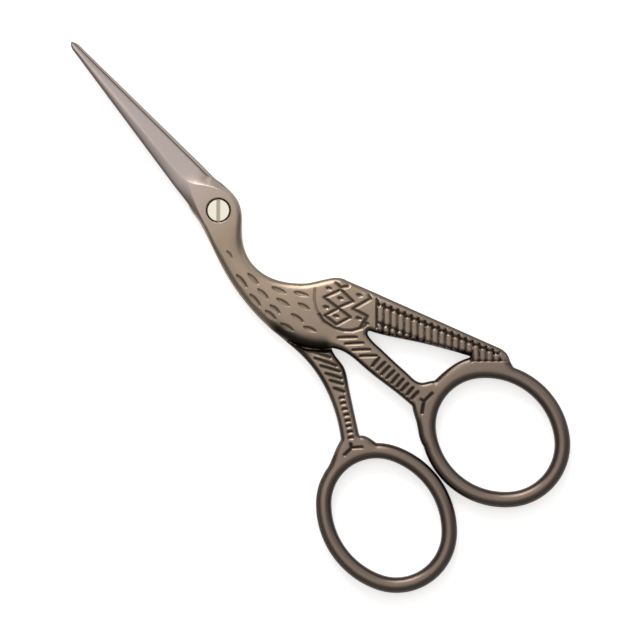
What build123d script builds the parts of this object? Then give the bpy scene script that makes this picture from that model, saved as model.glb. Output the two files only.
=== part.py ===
from build123d import *
import math
import os

os.makedirs("parts", exist_ok=True)

# Stork embroidery scissors, closed and lying flat. Millimetres, +Z up.
# The pivot axis is Z. The blades point along +X, the finger loops lie towards -X.
# The front half is the upper one of the two forgings where they cross.

# Whole tool
thickness = 3.6           # body, legs and finger loops, face to face
face_gap = 0.06           # running gap between the flat inner faces of the two halves
side_gap = 0.30           # gap between the shoulders of the closed halves
overrun = 1.0             # how far a cutting tool runs past the stock

# Blades
blade_reach = 39.4        # pivot axis to the points
blade_half = 3.2          # pivot line to the back of a blade at the heel
edge_land = 0.12          # thickness that is left along a cutting edge

# Neck, body, legs and tail
handle_run = 50.0         # pivot axis to the ankles at the finger loops
body_breadth = 20.0       # measure across the closed line that the bird's outline follows
body_bevel = 0.6          # bevel along the body's and the legs' edges
tail_thickness = 3.2
tail_bevel = 0.4
rib_pitch = 1.31          # from rib to rib along the tail's outer edge
rib_count = 14            # ribs between the wing and the finger loop
end_rib_count = 4         # ribs above the finger loop
groove_width = 0.56       # V groove between two ribs
groove_turn = 138.8       # degrees, the way that the grooves run from their start

# Finger loops
loop_wall = 2.75          # metal round the finger hole, seen from above
loop_round = 1.25         # rounding of the loop's edges
round_flats = 3           # flats that make up each rounded edge of a loop
left_hole_long = 22.0     # finger hole of the rear half
left_hole_share = 0.809   # its short way, as a share of the long way
left_tilt = -6.5          # degrees
right_hole_long = 22.0    # finger hole of the front half
right_hole_share = 0.8545
right_tilt = 11.0         # degrees
loop_gap = 0.12           # gap between the two loops when the blades are shut
end_arc_share = 0.89      # end radius of a finger hole, as a share of half its short way

# Pivot screw
head_width = 3.9          # screw head across
head_height = 0.9
head_gap = 0.16           # gap round the head in its counterbore
shoulder_width = 2.6      # plain bearing part, turns in the front half
bearing_gap = 0.03        # running gap round the shoulder and under the head
thread_width = 2.0        # end that is screwed into the rear half
thread_gap = 0.01
end_recess = 0.15         # the end lies this far inside the back of the rear half
head_chamfer = 0.10
slot_width = 0.65
slot_depth = 0.40
slot_turn = -41.2         # degrees from the blades' line

half = thickness / 2
inner_face = face_gap / 2
left_hole_short = left_hole_share * left_hole_long
right_hole_short = right_hole_share * right_hole_long
upwards = (Align.CENTER, Align.CENTER, Align.MIN)
onwards = (Align.MIN, Align.CENTER, Align.CENTER)

# Outlines. Each place is a share of handle_run along the tool and of body_breadth across it.

# Outer side of the neck, from the blade to where the breast parts from the rear half
neck_outer_shares = [(0.030, 0.1845), (-0.060, 0.237), (-0.180, 0.315), (-0.320, 0.354), (-0.410, 0.346)]
# Inner side of the neck, from the middle of its bow to the blade
neck_inner_shares = [(-0.230, 0.084), (-0.182, 0.070), (-0.139, 0.022), (-0.100, -0.052), (-0.060, -0.138),
                     (-0.022, -0.184), (0.030, -0.190)]
neck_end_shares = [(0.030, -0.190), (0.030, 0.1845)]

# Front half: breast, right leg and its foot, rear border of the wing, wing tip and back
breast_shares = [(-0.410, 0.346), (-0.462, 0.328), (-0.510, 0.292), (-0.556, 0.233), (-0.596, 0.146),
                 (-0.628, 0.044)]
right_leg_upper_shares = [(-0.628, 0.044), (-0.652, 0.003), (-0.760, -0.057), (-0.916, -0.131),
                          (-0.966, -0.149)]
right_foot_shares = [(-0.966, -0.149), (-0.992, -0.113), (-1.018, -0.085), (-1.055, -0.030), (-1.095, 0.009)]
right_foot_end_shares = [(-1.095, 0.009), (-1.160, -0.400), (-1.100, -0.800), (-0.990, -0.880)]
right_foot_inner_shares = [(-0.990, -0.880), (-0.962, -0.760), (-0.949, -0.540), (-0.950, -0.445)]
right_heel_shares = [(-0.950, -0.445), (-0.937, -0.393), (-0.924, -0.344), (-0.908, -0.322), (-0.880, -0.311)]
right_leg_lower_shares = [(-0.880, -0.311), (-0.800, -0.288), (-0.690, -0.264)]
window_corner_shares = [(-0.690, -0.264), (-0.668, -0.284), (-0.674, -0.336)]
wing_border_shares = [(-0.674, -0.336), (-0.598, -0.582)]
wing_edge_shares = [(-0.598, -0.582), (-0.484, -0.446)]
back_shares = [(-0.484, -0.446), (-0.462, -0.418), (-0.440, -0.355), (-0.402, -0.183), (-0.359, -0.060),
               (-0.299, 0.043), (-0.230, 0.084)]

# Rear half: thigh, left leg and its foot, crotch, and the tongue that lies behind the front half
thigh_shares = [(-0.410, 0.346), (-0.500, 0.313), (-0.600, 0.286), (-0.700, 0.312), (-0.800, 0.393),
                (-0.890, 0.517)]
left_foot_shares = [(-0.890, 0.517), (-0.898, 0.575), (-0.922, 0.700), (-0.940, 0.830)]
left_foot_end_shares = [(-0.940, 0.830), (-1.100, 0.900), (-1.100, 0.300), (-1.020, 0.245)]
left_foot_inner_shares = [(-1.020, 0.245), (-0.968, 0.308), (-0.940, 0.330), (-0.922, 0.371)]
left_leg_lower_shares = [(-0.922, 0.371), (-0.800, 0.203), (-0.722, 0.092)]
crotch_shares = [(-0.722, 0.092), (-0.704, 0.076), (-0.656, 0.067), (-0.624, 0.045)]
tongue_shares = [(-0.624, 0.045), (-0.580, 0.034), (-0.520, 0.030), (-0.440, 0.046), (-0.360, 0.060),
                 (-0.310, 0.068)]
nape_shares = [(-0.310, 0.068), (-0.270, 0.077), (-0.230, 0.084)]

# Tail: outer edge, tip, end in the finger loop, inner edge and root in the body
tail_outer_shares = [(-0.558, -0.534), (-1.018, -1.067)]
tail_tip_shares = [(-1.018, -1.067), (-1.046, -1.078), (-1.077, -1.055)]
tail_end_shares = [(-1.077, -1.055), (-1.140, -0.960), (-1.040, -0.800), (-0.968, -0.820)]
tail_inner_shares = [(-0.968, -0.820), (-0.880, -0.678), (-0.800, -0.537), (-0.720, -0.385), (-0.660, -0.290)]
tail_root_shares = [(-0.660, -0.290), (-0.558, -0.534)]

# Grooves of the tail's comb: start of the first one, and lengths as shares of body_breadth: of the groove at
# the wing's border, then of the first and last one between ribs and above the finger loop
comb_start_shares = (-0.604, -0.522)
border_groove_share = 0.225
groove_length_shares = (0.165, 0.090)
end_groove_length_shares = (0.115, 0.050)

# Ends of the finger holes at the ankles. Across the tool the right hole follows from the left one.
left_ankle_shares = (-0.984, 0.606)
right_ankle_along_share = -1.019

# Blade sections from the pivot to the point. Each row holds the place along the blade, then as shares of
# blade_half the back, both borders of the top land and the cutting side, then as shares of the half
# thickness the heights of the top land and of the back.
blade_row_shares = [
    (0.000, 1.190, 0.98, -0.85, -1.160, 1.00, 0.60),
    (0.045, 1.140, 0.93, -0.72, -1.170, 1.00, 0.60),
    (0.115, 1.025, 0.81, -0.25, -1.030, 1.00, 0.62),
    (0.148, 0.995, 0.72, -0.02, -0.850, 0.98, 0.62),
    (0.205, 0.962, 0.40, 0.28, -0.780, 0.95, 0.58),
    (0.510, 0.665, 0.22, 0.17, -0.510, 0.74, 0.44),
    (0.940, 0.250, 0.09, 0.05, -0.140, 0.38, 0.26),
    (0.982, 0.180, 0.04, 0.00, -0.090, 0.28, 0.22),
    (1.000, 0.040, 0.01, -0.01, -0.020, 0.22, 0.20),
]


def place(share):
    return (share[0] * handle_run, share[1] * body_breadth)


def run_edge(run):
    """One stretch of an outline: two places make a line, more make a smooth curve."""
    points = [place(share) for share in run]
    return Line(*points) if len(points) == 2 else Spline(*points)


def outline(*runs):
    """Closed flat face whose stretches follow each other."""
    return make_face([run_edge(run) for run in runs])


def slab(flat, height, bevel):
    """Plate about the middle plane with both faces' edges bevelled, but not the one at its +X end."""
    plate = extrude(Pos(0, 0, -height / 2) * flat, height)
    levels = plate.faces().sort_by(Axis.Z)
    rims = levels[0].edges().sort_by(Axis.X)[:-1] + levels[-1].edges().sort_by(Axis.X)[:-1]
    return chamfer(rims, bevel)


def even_steps(first, last, count):
    return [first + (last - first) * number / (count - 1) for number in range(count)]


def comb():
    """Cutters of the V grooves between the tail's ribs, for both faces."""
    edge_line = Line(place(tail_outer_shares[0]), place(tail_outer_shares[1]))
    shares = [border_groove_share]
    shares += even_steps(*groove_length_shares, rib_count)
    shares += even_steps(*end_groove_length_shares, end_rib_count)
    side = groove_width / math.sqrt(2)
    cutters = []
    for number, share in enumerate(shares):
        bar = Rot(45, 0, 0) * Box(share * body_breadth, side, side, align=onwards)
        foot = Vector(*place(comb_start_shares)) + (edge_line % 0) * (rib_pitch * number)
        for height in (-tail_thickness / 2, tail_thickness / 2):
            cutters.append(Pos(foot.X, foot.Y, height) * Rot(0, 0, groove_turn) * bar)
    return cutters


def hole_arcs(long_way, short_way):
    """Four tangent arcs of an oval: middle, radius, start angle and sweep of each."""
    long_half = long_way / 2
    short_half = short_way / 2
    end_radius = end_arc_share * short_half
    end_middle = long_half - end_radius
    flat_radius = (end_middle ** 2 + short_half ** 2 - end_radius ** 2) / (2 * (short_half - end_radius))
    flat_middle = flat_radius - short_half
    joint = math.degrees(math.atan2(flat_middle, end_middle))
    return [
        ((end_middle, 0), end_radius, -joint, 2 * joint),
        ((0, -flat_middle), flat_radius, joint, 180 - 2 * joint),
        ((-end_middle, 0), end_radius, 180 - joint, 2 * joint),
        ((0, flat_middle), flat_radius, 180 + joint, 180 - 2 * joint),
    ]


def oval(long_way, short_way, grow):
    """Flat oval, grown by a distance all round."""
    arcs = [CenterArc(middle, radius + grow, start, sweep)
            for middle, radius, start, sweep in hole_arcs(long_way, short_way)]
    return make_face(arcs)


def loop_section():
    """Section of a finger loop, with flats along its rounded edges."""
    corners = []
    for quarter, (across, up) in enumerate(((1, 1), (-1, 1), (-1, -1), (1, -1))):
        for flat in range(round_flats + 1):
            angle = math.radians(90 * (quarter + flat / round_flats))
            corners.append((across * (loop_wall / 2 - loop_round) + loop_round * math.cos(angle),
                            up * (half - loop_round) + loop_round * math.sin(angle)))
    return make_face(Polyline(*corners, close=True))


def loop_ring(long_way, short_way):
    """Finger loop: its section turned about the middle of each arc of its hole."""
    section = loop_section()
    ring = None
    for middle, radius, start, sweep in hole_arcs(long_way, short_way):
        stretch = revolve(Plane.XZ * Pos(radius + loop_wall / 2, 0) * section, Axis.Z, sweep)
        stretch = Pos(*middle) * Rot(0, 0, start) * stretch
        ring = stretch if ring is None else ring + stretch
    return ring


def reach_across(long_way, short_way, tilt):
    """From the middle of a tilted finger loop to its outer side, straight across the tool."""
    (_, low), radius, _, _ = hole_arcs(long_way, short_way)[1]
    return radius + loop_wall + low * math.cos(math.radians(tilt))


def blade():
    """Upper blade: flat inner face, ridge on top, cutting edge towards -Y."""
    sections = []
    for along, back, land_far, land_near, edge, land_height, back_height in blade_row_shares:
        x = blade_reach * along
        corners = [
            (x, blade_half * edge, inner_face),
            (x, blade_half * edge, inner_face + edge_land),
            (x, blade_half * land_near, land_height * half),
            (x, blade_half * land_far, land_height * half),
            (x, blade_half * back, back_height * half),
            (x, blade_half * back, inner_face),
        ]
        sections.append(make_face(Polyline(*corners, close=True)))
    return loft(sections, ruled=True)


# Places of the two finger loops
left_middle = Vector(*place(left_ankle_shares)) - Vector(left_hole_long / 2, 0).rotate(Axis.Z, left_tilt)
left_reach = reach_across(left_hole_long, left_hole_short, left_tilt)
right_reach = reach_across(right_hole_long, right_hole_short, right_tilt)
right_middle = Vector(
    right_ankle_along_share * handle_run - right_hole_long / 2 * math.cos(math.radians(right_tilt)),
    left_middle.Y - left_reach - loop_gap - right_reach,
)
left_place = Pos(left_middle) * Rot(0, 0, left_tilt)
right_place = Pos(right_middle) * Rot(0, 0, right_tilt)

# The metal of legs and tail ends on the crest of its finger loop
left_crest = left_place * oval(left_hole_long, left_hole_short, loop_wall / 2)
right_crest = right_place * oval(right_hole_long, right_hole_short, loop_wall / 2)
left_trim = extrude(Pos(0, 0, -half - overrun) * left_crest, thickness + 2 * overrun)
right_trim = extrude(Pos(0, 0, -half - overrun) * right_crest, thickness + 2 * overrun)

# Front half: body with neck and right leg, at full thickness where the rear half isn't behind it
front_flat = outline(
    neck_outer_shares, breast_shares, right_leg_upper_shares, right_foot_shares, right_foot_end_shares,
    right_foot_inner_shares, right_heel_shares, right_leg_lower_shares, window_corner_shares,
    wing_border_shares, wing_edge_shares, back_shares, neck_inner_shares, neck_end_shares,
)
far = handle_run          # a cutting shape that reaches this far leaves nothing beside it
tongue_edge = Pos(0, -side_gap) * run_edge(tongue_shares)
tongue_tip = tongue_edge @ 1
rear_space = make_face([
    tongue_edge,
    Polyline(tongue_tip, (tongue_tip.X, -far), (far, -far), (far, far), (-far, far), tongue_edge @ 0),
])
rear_cut = extrude(Pos(0, 0, -half - overrun) * rear_space, half + overrun + inner_face)
tail_flat = outline(tail_outer_shares, tail_tip_shares, tail_end_shares, tail_inner_shares, tail_root_shares)
front_body = slab(front_flat, thickness, body_bevel) - rear_cut
tail = slab(tail_flat, tail_thickness, tail_bevel) - comb()
front_body = front_body + tail - right_trim
front_half = front_body + right_place * loop_ring(right_hole_long, right_hole_short) + blade()

# Rear half: neck, tongue and left leg, at full thickness where the front half isn't above it
rear_flat = outline(
    neck_outer_shares, thigh_shares, left_foot_shares, left_foot_end_shares, left_foot_inner_shares,
    left_leg_lower_shares, crotch_shares, tongue_shares, nape_shares, neck_inner_shares, neck_end_shares,
)
breast_edge = Pos(-side_gap, side_gap / 2) * run_edge(breast_shares)
breast_top = breast_edge @ 0
belly = breast_edge @ 1
front_space = make_face([
    breast_edge,
    Polyline(belly, (belly.X, -far), (far, -far), (far, far), (breast_top.X, far), breast_top),
])
front_cut = extrude(Pos(0, 0, -inner_face) * front_space, half + overrun + inner_face)
rear_body = slab(rear_flat, thickness, body_bevel) - front_cut - left_trim
rear_half = rear_body + left_place * loop_ring(left_hole_long, left_hole_short) + Rot(180, 0, 0) * blade()

# Pivot: counterbored bearing in the front half, screwed end in the rear half
counterbore_floor = half - head_height - bearing_gap
head_room = Pos(0, 0, counterbore_floor) * Cylinder(
    head_width / 2 + head_gap, head_height + bearing_gap + overrun, align=upwards)
bearing_bore = Cylinder(shoulder_width / 2 + bearing_gap, thickness)
thread_bore = Cylinder(thread_width / 2 + thread_gap, 2 * thickness)
front_half = front_half - head_room - bearing_bore
rear_half = rear_half - thread_bore

screw_profile = make_face(Polyline(
    (0, half),
    (head_width / 2 - head_chamfer, half),
    (head_width / 2, half - head_chamfer),
    (head_width / 2, half - head_height),
    (shoulder_width / 2, half - head_height),
    (shoulder_width / 2, -inner_face),
    (thread_width / 2, -inner_face),
    (thread_width / 2, end_recess - half),
    (0, end_recess - half),
    close=True,
))
slot = Pos(0, 0, half - slot_depth) * Rot(0, 0, slot_turn) * Box(
    head_width + overrun, slot_width, slot_depth + overrun, align=upwards)
pivot_screw = revolve(Plane.XZ * screw_profile, Axis.Z, 360) - slot

# The scissors lie on the plane z = 0
for name, solid in (("front_half", front_half), ("rear_half", rear_half), ("pivot_screw", pivot_screw)):
    export_step(Pos(0, 0, half) * solid, f"parts/{name}.step")
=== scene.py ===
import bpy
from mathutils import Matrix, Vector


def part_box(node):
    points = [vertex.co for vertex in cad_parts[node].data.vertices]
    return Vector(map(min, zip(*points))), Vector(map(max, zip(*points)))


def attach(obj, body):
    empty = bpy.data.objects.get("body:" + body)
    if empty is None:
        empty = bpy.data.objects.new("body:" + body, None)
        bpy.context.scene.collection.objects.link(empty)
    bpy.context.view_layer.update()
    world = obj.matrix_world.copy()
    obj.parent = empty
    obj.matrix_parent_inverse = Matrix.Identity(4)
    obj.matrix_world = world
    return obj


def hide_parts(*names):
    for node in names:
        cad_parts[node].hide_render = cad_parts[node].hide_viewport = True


bl_info = {
    "name": "Stork embroidery scissors",
    "version": (1, 0, 0),
    "blender": (4, 5, 0),
    "location": "3D View > Sidebar > Scissors",
    "description": "Looks of a pair of stork embroidery scissors on a white ground",
    "category": "Add Mesh",
}

import bmesh
import bpy
import math
import numpy as np
from bpy.props import FloatProperty, FloatVectorProperty, PointerProperty
from mathutils import Vector
from mathutils.geometry import delaunay_2d_cdt
from mathutils.kdtree import KDTree

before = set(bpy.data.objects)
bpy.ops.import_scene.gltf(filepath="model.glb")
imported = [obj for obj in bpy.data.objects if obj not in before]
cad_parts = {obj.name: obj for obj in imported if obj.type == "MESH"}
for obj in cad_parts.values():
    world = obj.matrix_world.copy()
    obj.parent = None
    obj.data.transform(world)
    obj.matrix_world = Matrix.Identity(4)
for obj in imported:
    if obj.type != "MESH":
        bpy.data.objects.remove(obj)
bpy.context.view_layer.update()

# The tool lies flat with its pivot on the Z axis and its blades along +X. Plain numbers in the shapes below
# are millimetres, which MM makes metres. Heights are measured from the middle plane between the two halves.
MM = 0.001
LOW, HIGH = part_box("front_half")
HALF = (HIGH.z - LOW.z) / 2 / MM

# The photograph: its middle, pivot and scale in pixels, and how its right and upper sides lie to the tool
PHOTO_SIDE_PX = 640
PHOTO_MIDDLE_PX = (319.5, 319.5)
PIVOT_PX = (218.3, 210.3)
PX_PER_MM = 5.672
PHOTO_TURN = math.radians(-131.18)
RIGHT = np.array((math.cos(PHOTO_TURN), math.sin(PHOTO_TURN)))
UP = np.array((-math.sin(PHOTO_TURN), math.cos(PHOTO_TURN)))

# Feathers on neck and breast, each from end to end in pixels of the photograph
FEATHERS_PX = [
    (236.9, 275.1, 246.2, 286.5), (248.3, 273.7, 257.6, 283.1), (258.3, 289.1, 267.7, 297.9),
    (250.3, 294.5, 259.6, 305.2), (272.4, 287.1, 285.1, 292.5), (294.5, 291.8, 307.2, 295.2),
    (277.1, 298.5, 288.4, 305.2), (270.4, 305.2, 279.1, 312.6), (265.7, 310.6, 275.0, 318.6),
    (298.5, 303.2, 308.5, 308.6), (291.8, 313.9, 302.5, 321.3), (281.1, 323.3, 292.5, 330.0),
    (303.8, 326.6, 315.2, 330.7),
]
NECK_FEATHER_PX = (227.4, 251.2, 231.8, 257.6)

# Wing: lozenges and zigzag lines, dimples and the border
WING_LINES_PX = [
    [(335.5, 282.8), (340.6, 287.4), (347.6, 285.8)],
    [(340.5, 289.7), (352.5, 301.2), (337.2, 307.8), (323.7, 297.3), (340.5, 289.7)],
    [(338.2, 308.2), (349.6, 317.2), (336.0, 324.4), (324.6, 315.4), (338.2, 308.2)],
    [(368.0, 294.8), (369.7, 298.4), (352.4, 308.6), (366.4, 316.0), (360.4, 326.6)],
]
WING_BORDER_PX = [(318.6, 313.8), (323.0, 320.8), (334.3, 327.6), (343.0, 330.2), (351.8, 330.4),
                  (361.1, 327.6), (366.1, 323.4)]
WING_FRONT_PX = [(314.3, 288.4), (313.9, 300.3), (316.0, 309.0), (318.6, 313.8)]
WING_DIMPLES_PX = [(328.3, 287.9), (358.6, 294.7), (339.9, 297.9), (325.6, 306.8), (335.6, 315.7),
                   (358.0, 317.9), (365.3, 323.0)]

# Tail: border line, ribs, scales above and below them, and the end over the finger loop
TAIL_BORDER_PX = (376.0, 298.4, 376.0, 327.0)
RIB_PITCH_PX = 6.81
FIRST_RIB_PX = (379.6, 308.6, 319.0)
RIB_COUNT = 14
SCALE_PITCH_PX = 6.755
FIRST_SCALE_PX = (380.8, 301.2)
SCALE_COUNT = 18
LOWER_SCALE_PITCH_PX = (6.86, 2.45)
FIRST_LOWER_SCALE_PX = (378.2, 326.2)
LOWER_SCALE_COUNT = 6
COMB_SLOPE = 0.418
TAIL_FOOT_PX = (374.0, 331.2)
TAIL_FOOT_SLOPE = 0.213
LOOP_RIB_TOPS_PX = [(474.7, 348.4), (481.6, 351.2), (488.4, 354.0), (495.3, 356.6)]
LOOP_RIB_FOOT_PX = 357.4
LAST_SCALE_PX = (500.6, 354.6, 503.0, 358.0)
COMB_CORNER_PX = (376.4, 299.2)
COMB_END_PX = (505.6, 358.0)
COMB_LOOP_PX = (480.0, 361.0)
COMB_ON_LOOP_PX = (469.5, 355.0)

# Legs: slanting grooves and rungs, and the toes over the finger loops
RIGHT_LEG_PX = [
    (337.8, 337.3, 355.6, 336.8), (345.0, 343.4, 362.2, 342.5), (352.4, 349.7, 369.0, 349.1),
    (359.8, 355.6, 375.7, 355.2), (371.3, 365.7, 378.3, 357.4), (376.4, 369.5, 384.0, 361.9),
    (380.8, 374.0, 388.5, 366.0), (385.9, 377.8, 393.3, 370.2), (391.0, 382.3, 397.7, 374.3),
    (395.8, 386.1, 402.5, 378.5), (400.6, 390.0, 407.3, 382.9), (406.0, 394.1, 412.1, 387.1),
    (410.5, 398.2, 417.2, 391.2),
]
LEFT_LEG_PX = [
    (304.8, 349.3, 329.7, 357.0), (314.4, 357.6, 336.1, 365.3), (320.2, 365.3, 339.3, 371.0),
    (325.3, 372.9, 341.2, 378.0), (329.7, 379.9, 342.5, 383.8), (333.5, 387.6, 343.8, 391.4),
]
LEFT_RUNGS_PX = [(341.5, 397.2), (342.7, 402.6), (344.3, 408.4), (345.9, 414.1), (347.2, 419.9),
                 (348.2, 425.3), (349.4, 431.0), (350.4, 436.8)]
RIGHT_TOES_PX = [(420.4, 398.9, 422.9, 400.8), (422.9, 400.8, 431.2, 392.8), (422.9, 400.8, 421.0, 412.3)]
LEFT_TOES_PX = [(350.1, 443.1, 351.0, 447.0), (351.0, 447.0, 361.2, 446.3), (351.0, 447.0, 344.0, 454.0)]

# Ridges of the front blade: the one on the cutting side swings round the screw, the one on the back runs
# into the neck, and both meet in one ridge towards the point
CUT_RIDGE = [(-4.0, -2.3), (-2.2, -3.0), (0.0, -3.3), (1.0, -3.2), (2.0, -2.9), (3.1, -2.34), (4.0, -1.75),
             (4.9, -1.1), (5.8, -0.38), (6.7, 0.25), (7.7, 0.68), (9.0, 0.86), (12.0, 0.86), (20.0, 0.60),
             (37.0, 0.16), (39.3, 0.04)]
BACK_RIDGE = [(-12.0, 5.9), (-6.0, 4.9), (-3.0, 4.15), (0.0, 3.3), (1.6, 2.9), (3.2, 2.4), (4.5, 1.95),
              (6.0, 1.45), (7.5, 1.05), (9.0, 0.86), (12.0, 0.86), (20.0, 0.60), (37.0, 0.16), (39.3, 0.04)]
# Heights as shares of HALF along the blade: of the ridge and of the back, then real heights of the edge
RIDGE_HEIGHTS = ((5.0, 8.0, 20.0, 37.0, 39.4), (1.0, 0.96, 0.76, 0.40, 0.24))
BACK_HEIGHTS = ((-6.0, 0.0, 6.0, 20.0, 37.0, 39.4), (0.75, 0.70, 0.62, 0.46, 0.24, 0.16))
EDGE_HEIGHTS = ((-2.0, 0.0, 2.0, 3.0, 4.6, 5.8, 8.0), (1.35, 1.25, 1.0, 0.8, 0.45, 0.16, 0.15))
# Heel of the cutting edge, where the front blade's outline steps inside the rear blade's back
HEEL = ((4.0, 5.25, 5.62, 5.95), (-3.42, -3.10, -2.76, -2.70))


def place(u, v):
    """A pixel of the photograph as a place in the tool's plane."""
    return RIGHT * (u - PIVOT_PX[0]) / PX_PER_MM - UP * (v - PIVOT_PX[1]) / PX_PER_MM


def ease(value, start, end):
    """Smooth step from 0 at start to 1 at end."""
    t = np.clip((value - start) / (end - start), 0, 1)
    return t * t * (3 - 2 * t)


def within(value, rise, fall):
    """Smooth steps to 1 over the rise and back to 0 over the fall, each given from its end at 0."""
    return ease(value, *rise) * ease(value, *fall)


QUARTER_ROUND = 2.0       # the power of a round edge, a larger one makes it squarer


def rounded(share, power):
    """Height of a rounded edge, from 0 at its foot to 1 on its top."""
    s = np.clip(share, 0, 1)
    return (1 - (1 - s) ** power) ** (1 / power)


def cross(a, b):
    return a[..., 0] * b[..., 1] - a[..., 1] * b[..., 0]


TINY = 1e-12              # keeps a length of nothing from being divided by


def unit(a):
    return a / np.maximum(np.linalg.norm(a, axis=-1, keepdims=True), TINY)


def curve(start, end, leaving, arriving, t):
    """Cubic curve from its ends and its directions there."""
    return ((2 * t ** 3 - 3 * t ** 2 + 1) * start + (t ** 3 - 2 * t ** 2 + t) * leaving
            + (3 * t ** 2 - 2 * t ** 3) * end + (t ** 3 - t ** 2) * arriving)


def flowing(points, pieces=6):
    """Smooth curve through some points, as a chain."""
    p = np.array(points, float)
    tangent = np.gradient(p, axis=0)
    t = np.linspace(0, 1, pieces, endpoint=False)[:, None]
    chain = [curve(p[k], p[k + 1], tangent[k], tangent[k + 1], t) for k in range(len(p) - 1)]
    return np.vstack(chain + [p[-1:]])


def chain_gap(chain, places):
    """Distance of places from a chain of points."""
    best = np.full(len(places), np.inf)
    for a, b in zip(chain, chain[1:]):
        along = b - a
        share = np.clip(((places - a) @ along) / (along @ along), 0, 1)
        best = np.minimum(best, np.linalg.norm(places - a - along * share[:, None], axis=1))
    return best


def tree_of(points):
    tree = KDTree(len(points))
    for index, point in enumerate(points):
        tree.insert((point[0], point[1], 0), index)
    tree.balance()
    return tree


WELD = 1e-6               # metres, corners of the CAD mesh that lie closer are one
ON_PLANE = 1e-9           # metres, corners that lie closer to the cutting plane are on it


def section_loops(node, height):
    """Closed outlines of a CAD node at a height, with metal on the left of each."""
    mesh = bmesh.new()
    mesh.from_mesh(node.data)
    bmesh.ops.remove_doubles(mesh, verts=mesh.verts[:], dist=WELD)
    bmesh.ops.bisect_plane(
        mesh, geom=mesh.verts[:] + mesh.edges[:] + mesh.faces[:], dist=ON_PLANE,
        plane_co=(0, 0, (HALF + height) * MM), plane_no=(0, 0, 1), clear_inner=True, clear_outer=True)
    loops = []
    seen = set()
    for start in mesh.verts:
        if start in seen or len(start.link_edges) != 2:
            continue
        loop = []
        here, edge = start, start.link_edges[0]
        while here not in seen:
            seen.add(here)
            loop.append((here.co.x / MM, here.co.y / MM))
            here = edge.other_vert(here)
            edge = next(e for e in here.link_edges if e != edge)
        loops.append(np.array(loop))
    mesh.free()
    loops.sort(key=lambda loop: -abs(signed_area(loop)))
    return [loop[::-1] if (signed_area(loop) > 0) != (k == 0) else loop for k, loop in enumerate(loops)]


def signed_area(loop):
    after = np.roll(loop, -1, 0)
    return float((loop[:, 0] * after[:, 1] - loop[:, 1] * after[:, 0]).sum() / 2)


STEP = 0.13               # from point to point along an outline
SHORTEST = 0.006          # a shorter facet is dropped
LEAST_TURN = 0.003        # radians, a smaller turn is dropped
THINNING_ROUNDS = 3
CORNER = 0.5              # radians, a sharper turn stays a corner
STRAIGHT = 4.0            # a longer facet stays straight
# Rounds of softening, first everywhere behind the blade, then at the two shoulders of the blade only
SOFTENING = 2
SHOULDER_SOFTENING = 60
BEHIND_BLADE_X = (4.5, 3.5)
BACK_SHOULDER_X = ((-7.0, -4.0), (12.0, 9.0))
BACK_SHOULDER_Y = (0.0, 1.5)
HEEL_SHOULDER_X = ((-2.0, 0.0), (4.6, 3.6))
HEEL_SHOULDER_Y = (-2.5, -3.0)


def smooth_loop(loop, side):
    """The same outline with its facets made curves, softened where the neck runs into the blade."""
    loop = loop[np.linalg.norm(loop - np.roll(loop, 1, 0), axis=1) > SHORTEST]
    for _ in range(THINNING_ROUNDS):
        before = unit(loop - np.roll(loop, 1, 0))
        after = unit(np.roll(loop, -1, 0) - loop)
        loop = loop[np.abs(cross(before, after)) > LEAST_TURN]
    before = loop - np.roll(loop, 1, 0)
    after = np.roll(loop, -1, 0) - loop
    length_before = np.linalg.norm(before, axis=1)[:, None]
    length_after = np.linalg.norm(after, axis=1)[:, None]
    before, after = before / length_before, after / length_after
    tangent = unit(before * length_after + after * length_before)
    tangent = np.where(length_before > STRAIGHT, before, tangent)
    tangent = np.where(length_after > STRAIGHT, after, tangent)
    sharp = (np.arccos(np.clip((before * after).sum(1), -1, 1)) > CORNER)[:, None]
    leaving = np.where(sharp, after, tangent)
    arriving = np.where(sharp, before, tangent)
    points = []
    for k in range(len(loop)):
        m = (k + 1) % len(loop)
        length = length_after[k, 0]
        count = max(1, round(length / STEP))
        t = np.arange(count)[:, None] / count
        points.append(curve(loop[k], loop[m], length * leaving[k], length * arriving[m], t))
    points = np.vstack(points)
    x, y = points[:, 0], points[:, 1] * side
    heel = (x > HEEL[0][0]) & (x < HEEL[0][-1]) & (y < 0)
    points[heel, 1] = np.interp(x[heel], *HEEL) * side
    behind_blade = ease(x, *BEHIND_BLADE_X)[:, None]
    shoulder = (within(x, *BACK_SHOULDER_X) * ease(y, *BACK_SHOULDER_Y)
                + within(x, *HEEL_SHOULDER_X) * ease(y, *HEEL_SHOULDER_Y))[:, None]
    for turn in range(SHOULDER_SOFTENING):
        share = np.maximum(behind_blade if turn < SOFTENING else 0, shoulder)
        mean = (np.roll(points, 1, 0) + np.roll(points, -1, 0)) / 2
        points = points + share * (mean - points) / 2
    return points


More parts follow.
